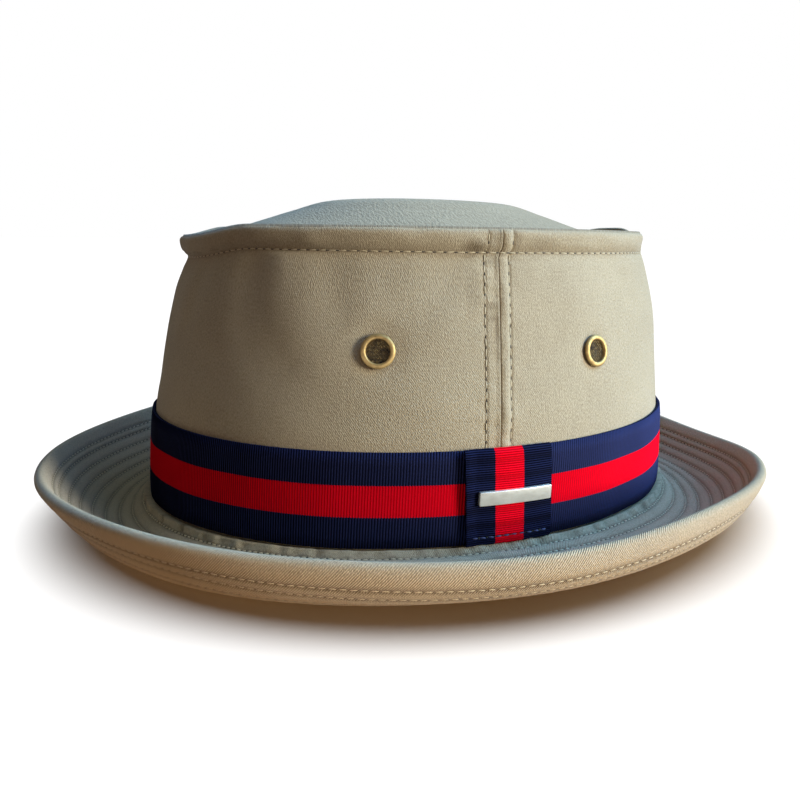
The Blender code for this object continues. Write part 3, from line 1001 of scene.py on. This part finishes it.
def shape_vent_ring(name):
    """A brass ring with its axis on Z, spun by extruding a circle through its section."""
    bpy.ops.object.select_all(action="DESELECT")
    bore = vent_bore / 2
    path = [(radius * vent_radius, height * vent_dome) for radius, height in vent_section]
    path += [(bore, -vent_reach), (bore + vent_wall, -vent_reach), (bore + vent_wall, -0.0002)]
    radius, height = path[0]
    bpy.ops.mesh.primitive_circle_add(vertices=vent_sides, radius=radius, location=(0, 0, height))
    ring = bpy.context.object
    ring.name = name
    bpy.ops.object.transform_apply(location=True, rotation=False, scale=False)
    bpy.ops.object.mode_set(mode="EDIT")
    bpy.ops.mesh.select_all(action="SELECT")
    for next_radius, next_height in path[1:]:
        share = next_radius / radius
        bpy.ops.mesh.extrude_region_move(TRANSFORM_OT_translate={"value": (0, 0, next_height - height)})
        bpy.ops.transform.resize(value=(share, share, 1.0))
        radius, height = next_radius, next_height
    bpy.ops.mesh.select_all(action="DESELECT")
    bpy.ops.mesh.select_non_manifold()
    bpy.ops.mesh.bridge_edge_loops()
    bpy.ops.mesh.select_all(action="SELECT")
    bpy.ops.mesh.normals_make_consistent(inside=False)
    bpy.ops.object.mode_set(mode="OBJECT")
    ring.data.shade_smooth()
    ring.data.set_sharp_from_angle(angle=math.radians(55))
    return ring


def seat_at_vent(piece, number, stand_off):
    """Move a piece that was made round the origin to its vent, and keep the place in its mesh."""
    centre, outward, turn = vent_frame(number)
    piece.data.transform(Matrix.Translation(centre + outward * stand_off) @ turn.to_matrix().to_4x4())


vent_material = antique_brass("vent_antique_brass")
for number in range(4):
    ring = shape_vent_ring(f"vent_eyelet_{number + 1}")
    seat_at_vent(ring, number, vent_seat)
    finish_piece(ring, vent_material, "vent_brass", f"vent_ring_{number + 1}")


# Vent screens. Woven wire set in each eyelet's bore, dark, with its wires on
# the diagonal and bright brass in patches.
wire_pitch = 0.00078
wire_width = 0.00019
wire_wave = 0.00010
wire_steps = 26
screen_depth = 0.00020
screen_turn = math.radians(42)
# The wire's dark colour is partly painted shade from the hat's inside behind the screen.
wire_dark = (0.020, 0.019, 0.032)
wire_bright = (0.62, 0.44, 0.20)


def shape_screen(name):
    """A disc of woven wire round the origin: wires both ways, over and under each other."""
    reach = vent_bore / 2
    count = int(reach / wire_pitch)
    bpy.ops.object.select_all(action="DESELECT")
    bpy.ops.mesh.primitive_cylinder_add(vertices=6, radius=wire_width / 2, depth=1.0,
                                        end_fill_type="TRIFAN", rotation=(0, math.pi / 2, 0))
    bpy.ops.object.transform_apply(location=False, rotation=True, scale=False)
    bpy.ops.object.mode_set(mode="EDIT")
    for step in range(1, wire_steps):
        bpy.ops.mesh.select_all(action="SELECT")
        bpy.ops.mesh.bisect(plane_co=(step / wire_steps - 0.5, 0, 0), plane_no=(1, 0, 0))
    bpy.ops.object.mode_set(mode="OBJECT")
    rod_points, rod_faces = take_shape(bpy.context.object)
    wires = []
    for way in (0, 1):
        for number in range(-count, count + 1):
            across = number * wire_pitch
            half = math.sqrt(max(reach ** 2 - across ** 2, 0.0))
            if half < wire_pitch:
                continue
            wire = rod_points.copy()
            wire[:, 0] *= 2 * half
            phase = np.pi * (wire[:, 0] / wire_pitch + number + way)
            wire[:, 2] += wire_wave * np.cos(phase)
            wire[:, 1] += across
            if way:
                wire = wire[:, (1, 0, 2)] * (1, -1, 1)
            wires.append(wire)
    screen = join_copies(name, wires, rod_faces)
    screen.data.transform(Matrix.Rotation(screen_turn, 4, "Z"))
    return screen


def woven_wire(name):
    """Dark oxidised wire, its darkness partly painted shade from the hat's inside behind it, with some
    brass showing through.
    """
    sheet = NodeSheet(name)
    place = sheet.add("ShaderNodeTexCoord").outputs["Object"]
    patches = sheet.grain(place, (0.0011, 0.0011, 0.0011), 3.0, 0.6)
    worn = sheet.math("MULTIPLY_ADD", patches, 2.4, -0.85)
    sheet.colour(sheet.held(worn), wire_dark, wire_bright)
    sheet.shader.inputs["Metallic"].default_value = 0.9
    sheet.shader.inputs["Roughness"].default_value = 0.42
    return sheet.material


screen_material = woven_wire("vent_woven_wire")
for number in range(4):
    screen = shape_screen(f"vent_screen_{number + 1}")
    seat_at_vent(screen, number, vent_seat - screen_depth)
    finish_piece(screen, screen_material, "vent_wire", f"vent_mesh_{number + 1}")


# Ribbon band. Grosgrain, navy with a red middle third, its ribs upright. It
# goes once round the foot of the crown and its ends meet under the tab.
ribbon_cloth = 0.0010
band_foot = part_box("hat_band")[0].z
band_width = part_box("hat_band")[1].z - band_foot
rib_pitch = 0.00083
rib_height = 0.00022
rib_section = (0.0, 0.75, 1.0, 0.75)
rib_points = len(rib_section)
# navy_deep and red_deep are the dark ends: painted shade between the ribs, mixed with uneven yarns;
# navy_deep is also the shade of the tab's needle holes.
navy = (0.0290, 0.0370, 0.1200)
navy_deep = (0.0004, 0.0006, 0.0045)
red = (0.980, 0.0012, 0.0190)
red_deep = (0.400, 0.0005, 0.0055)
band_radius = 0.0955
band_ribs = round(2 * math.pi * band_radius / rib_pitch)
band_swell = 0.00035
band_steps = 8
edge_dip = 0.00022


def rib_ridge(share, ribs):
    """How high the ribs stand at a share of the way along a ribbon with so many of them."""
    return rib_height * rib_section[round(share * ribs * rib_points) % rib_points]


def band_profile(angle):
    """The ribbon's closed section at an angle: its outer face from the top down, then its back."""
    ridge = rib_ridge(angle / (2 * math.pi), band_ribs)
    outline = []
    for step in range(band_steps + 1):
        share = 1 - step / band_steps
        height = band_foot + band_width * share
        level = (height - crown_foot) / crown_height
        soft = band_swell * noise.noise(Vector((angle * 6.0, share * 1.4, 6.3)))
        edge = edge_dip * (ramp(share, 0.93, 1.0) + ramp(1 - share, 0.93, 1.0))
        place = crown_point(angle, level, wall_gap + ribbon_cloth + ridge + soft - edge + 0.0001)
        place.z = height
        outline.append((place, 0.0))
    for share in (0.0, 0.5, 1.0):
        height = band_foot + band_width * share
        place = crown_point(angle, (height - crown_foot) / crown_height, wall_gap)
        place.z = height + (0.5 - share) * 0.0004
        outline.append((place, 0.0))
    return outline


def grosgrain(name, ribs_along, width, blue_light):
    """Ribbed ribbon: navy with a red middle third, with painted shade between its ribs."""
    sheet = NodeSheet(name)
    cloth = sheet.add("ShaderNodeUVMap", uv_map="cloth").outputs[0]
    parts = sheet.add("ShaderNodeSeparateXYZ", in_0=cloth)
    across = parts.outputs[1 if ribs_along else 0]
    directions = ((1.0, 0.0, 0.0), (0.0, 1.0, 0.0))
    rib = sheet.stripe(cloth, directions[0 if ribs_along else 1], rib_pitch)
    ticks = sheet.stripe(cloth, directions[1 if ribs_along else 0], 0.00042)
    yarn = sheet.grain(cloth, (0.00050, 0.00050, 1.0), 3.0, 0.6)
    sweep = sheet.grain(cloth, (0.022, 0.016, 1.0), 2.0, 0.5)
    teeth = sheet.math("MULTIPLY", rib, 0.00010)
    centred = sheet.math("SUBTRACT", sheet.math("ADD", across, teeth), width / 2)
    distance = sheet.math("ABSOLUTE", centred)
    is_red = sheet.math("LESS_THAN", distance, width / 6)
    # The valleys between the ribs are painted darker: painted shade.
    dark = sheet.math("MULTIPLY_ADD", rib, -0.62, 0.54)
    dark = sheet.math("MULTIPLY_ADD", ticks, -0.05, dark)
    dark = sheet.math("MULTIPLY_ADD", sheet.math("SUBTRACT", yarn, 0.5), 0.45, dark)
    dark = sheet.math("MULTIPLY_ADD", sheet.math("SUBTRACT", sweep, 0.5), 0.30, dark)
    depth = sheet.held(dark)
    blue = sheet.blend(depth, blue_light, navy_deep)
    scarlet = sheet.blend(depth, red, red_deep)
    sheet.colour(is_red, blue, scarlet)
    height = sheet.math("MULTIPLY_ADD", ticks, 0.25, sheet.math("MULTIPLY_ADD", rib, 0.6, yarn))
    sheet.emboss(height, 0.30, 0.00016)
    sheet.roughen(yarn, 0.16, 0.55)
    sheet.shader.inputs["Specular IOR Level"].default_value = 0.02
    return sheet.material


band_pitch_radius = band_ribs * rib_pitch / (2 * math.pi)
band = shape_ring("ribbon_band", band_ribs * rib_points, band_profile, band_pitch_radius)
band_material = grosgrain("band_grosgrain", True, band_width, navy)
finish_piece(band, band_material, "band_ribbon", "hat_band")


# Ribbon tab. A piece of the same ribbon turned upright, wrapped over the
# band's ends at the wearer's left and sewn down in a row near its foot.
tab_width = 0.0290
tab_shift = 0.0034
tab_lean = 0.0022
tab_overlap = 0.0005
tab_curl = 0.0007
tab_columns = 44
tab_ribs = round((band_width + 2 * tab_overlap) / rib_pitch)
tab_stitch_raise = 0.0031
tab_stitch = 0.0026
# The tab's navy is a darker copy of the band's: painted shade.
tab_navy_shaded = (0.0110, 0.0150, 0.0560)


def tab_place(share, height, lift):
    """A point on the tab's face, share of the way across and at a height above the table."""
    middle = tab_shift + tab_lean * (0.5 - (height - band_foot) / band_width)
    along = middle + tab_width * (share - 0.5)
    turn = math.asin(along / crown_half_length)
    place = crown_point(turn, (height - crown_foot) / crown_height, lift)
    place.z = height
    return place


def tab_sheet(share, up):
    """A point of the tab's cloth and its crease, from its foot at 0 to its top at 1."""
    foot = band_foot - tab_overlap
    height = foot + (band_width + 2 * tab_overlap) * up
    lift = 2 * wall_gap + 2 * ribbon_cloth + rib_ridge(up, tab_ribs)
    from_end = min(up, 1 - up) * band_width
    lift -= 0.0011 * (1 - ramp(from_end, 0.0, 0.0016)) ** 2
    lift += 0.00025 * noise.noise(Vector((share * 3.0, up * 2.5, 2.2)))
    lift += 0.00022 * math.sin(math.pi * share)
    lift += tab_curl * (1 - ramp(share, 0.0, 0.14))
    stitched = abs(height - (foot + tab_stitch_raise))
    lift -= 0.00025 * max(1 - stitched / 0.0009, 0.0)
    return tab_place(share, height, lift), 0.0


tab_shares = np.linspace(0, 1, tab_columns + 1)
tab_heights = np.linspace(0, 1, tab_ribs * rib_points + 1)
tab = shape_sheet("ribbon_tab", tab_shares, tab_heights, tab_sheet)
apply_thickness(tab, ribbon_cloth)
tab.data.shade_smooth()
tab.data.set_sharp_from_angle(angle=math.radians(50))
tab_material = grosgrain("tab_grosgrain", False, tab_width, tab_navy_shaded)
finish_piece(tab, tab_material, "tab_ribbon", "band_tab")


def tab_stitches():
    """The row of navy stitches across the foot of the tab."""
    count = round((tab_width - 0.003) / tab_stitch)
    height = band_foot - tab_overlap + tab_stitch_raise
    lift = 2 * wall_gap + 2 * ribbon_cloth + 0.00015
    stitches = []
    for step in range(count):
        low = (0.0015 + tab_stitch * step) / tab_width
        high = (0.0015 + tab_stitch * (step + 1)) / tab_width
        here, there = tab_place(low, height, lift), tab_place(high, height, lift)
        normal = (here - tab_place(low, height, lift - 0.001)).normalized()
        stitches.append((here, there, normal))
    return stitches


tab_thread = cotton_thread("tab_navy_thread", (0.040, 0.055, 0.200), (0.010, 0.014, 0.060))
# The tab's needle holes are painted shade too.
tab_dips = cotton_thread("tab_dip_shade", navy_deep, navy_deep)
sew("tab_stitches", tab_stitches(), tab_thread, tab_dips, "tab_ribbon", 1.6)


# Plain bar. A small cast plate of antiqued silver pinned across the tab, its
# corners softened. It is left blank.
bar_low, bar_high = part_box("name_bar")
bar_length = 0.0241
bar_height = 0.0046
bar_thickness = 0.0012
bar_shift = 0.0048
bar_middle = (bar_low.z + bar_high.z) / 2
bar_lift = 3 * wall_gap + 2 * ribbon_cloth
silver = (0.86, 0.84, 0.78)
silver_dark = (0.42, 0.39, 0.33)
silver_share = 0.55

bpy.ops.object.select_all(action="DESELECT")
bpy.ops.mesh.primitive_cube_add(size=1.0, scale=(bar_thickness, bar_length, bar_height))
bar = bpy.context.object
bar.name = "blank_bar"
bpy.ops.object.transform_apply(location=False, rotation=False, scale=True)
bpy.ops.object.mode_set(mode="EDIT")
bpy.ops.mesh.select_mode(type="EDGE")
bpy.ops.mesh.select_all(action="DESELECT")
shape = bmesh.from_edit_mesh(bar.data)
for edge in shape.edges:
    first, second = (vertex.co for vertex in edge.verts)
    edge.select = abs(first.x - second.x) > bar_thickness / 2
bmesh.update_edit_mesh(bar.data)
bpy.ops.mesh.bevel(offset=0.00045, segments=4, affect="EDGES")
bpy.ops.mesh.select_all(action="DESELECT")
shape = bmesh.from_edit_mesh(bar.data)
shape.faces.ensure_lookup_table()
for face in shape.faces:
    face.select = face.normal.x > 0.9
bmesh.update_edit_mesh(bar.data)
bpy.ops.mesh.bevel(offset=0.00028, segments=3, affect="EDGES")
for step in range(1, 12):
    bpy.ops.mesh.select_all(action="SELECT")
    bpy.ops.mesh.bisect(plane_co=(0, bar_length * (step / 12 - 0.5), 0), plane_no=(0, 1, 0))
bpy.ops.object.mode_set(mode="OBJECT")
for vertex in bar.data.vertices:
    turn = math.asin((bar_shift + vertex.co.y) / crown_half_length)
    height = bar_middle + vertex.co.z
    lift = bar_lift + bar_thickness / 2 + vertex.co.x
    place = crown_point(turn, (height - crown_foot) / crown_height, lift)
    place.z = height
    vertex.co = place
bar.data.shade_smooth()
bar.data.set_sharp_from_angle(angle=math.radians(40))


def antique_silver(name):
    """Silver with a fine brushed grain and a grey tarnish in soft patches."""
    sheet = NodeSheet(name)
    place = sheet.add("ShaderNodeTexCoord").outputs["Object"]
    brushed = sheet.grain(place, (0.0030, 0.0030, 0.00012), 2.0)
    tarnish = sheet.grain(place, (0.0045, 0.0045, 0.0022), 3.0, 0.6)
    depth = sheet.math("MULTIPLY_ADD", tarnish, 1.1, -0.38)
    sheet.colour(sheet.held(depth), silver, silver_dark)
    sheet.shader.inputs["Metallic"].default_value = silver_share
    sheet.roughen(brushed, 0.22, 0.26)
    sheet.emboss(brushed, 0.12, 0.00008)
    return sheet.material


finish_piece(bar, antique_silver("bar_antique_silver"), "bar_metal", "name_bar")


# Studio. A plain pale floor under the hat, a low key light and cool window
# light from the right, and soft fill from above and the front. Warm light
# that the table throws back reaches the brim alone.
camera_place = Vector((0.2923, -0.0946, 0.1043))
camera_aim = Vector((0.0, 0.0, 0.0549))
camera_roll = math.radians(0.36)
camera_lens = 34.12
camera_shift = (-0.0151, -0.0519)

bpy.ops.object.select_all(action="DESELECT")
bpy.ops.mesh.primitive_plane_add(size=40.0)
floor = bpy.context.object
floor.name = "studio_floor"
floor_sheet = NodeSheet("studio_floor_paint")
floor_sheet.shader.inputs["Base Color"].default_value = (0.90, 0.90, 0.90, 1.0)
floor_sheet.shader.inputs["Roughness"].default_value = 0.9
floor_sheet.shader.inputs["Specular IOR Level"].default_value = 0.1
floor.data.materials.append(floor_sheet.material)
floor.visible_diffuse = False
hat_lit = bpy.data.collections.new("hat_lit")
floor_lit = bpy.data.collections.new("floor_lit")
floor_lit.objects.link(floor)
brim_lit = bpy.data.collections.new("brim_lit")
for piece in bpy.context.scene.objects:
    if piece.type == "MESH" and piece is not floor:
        hat_lit.objects.link(piece)
    if piece.name.startswith("brim_"):
        brim_lit.objects.link(piece)


def add_light(name, azimuth, elevation, energy, color, spread, receivers):
    """A soft distant studio light from a direction, for the hat or for the floor."""
    azimuth, elevation = math.radians(azimuth), math.radians(elevation)
    data = bpy.data.lights.new(name, "SUN")
    data.energy = energy
    data.color = color
    data.angle = math.radians(spread)
    light = bpy.data.objects.new(name, data)
    run = math.cos(elevation)
    light.location = Vector((run * math.cos(azimuth), run * math.sin(azimuth), math.sin(elevation)))
    light.rotation_euler = light.location.to_track_quat("Z", "Y").to_euler()
    bpy.context.scene.collection.objects.link(light)
    light.light_linking.receiver_collection = receivers
    light.light_linking.blocker_collection = hat_lit


add_light("key_light", 50, 10, 4.60, (0.98, 0.96, 0.82), 22, hat_lit)
add_light("window_light", 75, 32, 2.85, (0.25, 0.64, 1.00), 40, hat_lit)
add_light("high_window_light", 75, 55, 1.60, (0.20, 0.46, 1.00), 40, hat_lit)
add_light("sky_light", 0, 85, 0.40, (0.55, 0.88, 0.95), 80, hat_lit)
add_light("front_light", -40, 12, 0.32, (1.00, 0.60, 0.35), 70, hat_lit)
add_light("table_light", 32, -36, 1.25, (1.00, 0.50, 0.12), 60, brim_lit)
add_light("floor_light", -18, 84, 3.9, (1.00, 1.00, 1.00), 70, floor_lit)

# The backdrop is white paper, and the air of the studio is dim.
backdrop = 1.0
ambient = 0.05
world = bpy.data.worlds.new("studio_world")
world.use_nodes = True
surround = world.node_tree.nodes["Background"]
surround.inputs["Color"].default_value = (1.0, 1.0, 1.0, 1.0)
ray = world.node_tree.nodes.new("ShaderNodeLightPath")
reach = world.node_tree.nodes.new("ShaderNodeMapRange")
reach.inputs["To Min"].default_value = ambient
reach.inputs["To Max"].default_value = backdrop
world.node_tree.links.new(ray.outputs["Is Camera Ray"], reach.inputs["Value"])
world.node_tree.links.new(reach.outputs["Result"], surround.inputs["Strength"])
bpy.context.scene.world = world
bpy.context.scene.view_settings.view_transform = "Standard"

camera_data = bpy.data.cameras.new("photo_camera")
camera_data.lens = camera_lens
camera_data.sensor_width = 36.0
camera_data.shift_x, camera_data.shift_y = camera_shift
camera_data.clip_start = 0.01
camera = bpy.data.objects.new("photo_camera", camera_data)
camera.location = camera_place
facing = (camera_aim - camera_place).to_track_quat("-Z", "Y").to_matrix()
camera.rotation_euler = (facing @ Matrix.Rotation(camera_roll, 3, "Z")).to_euler()
bpy.context.scene.collection.objects.link(camera)
bpy.context.scene.camera = camera

bpy.context.view_layer.update()
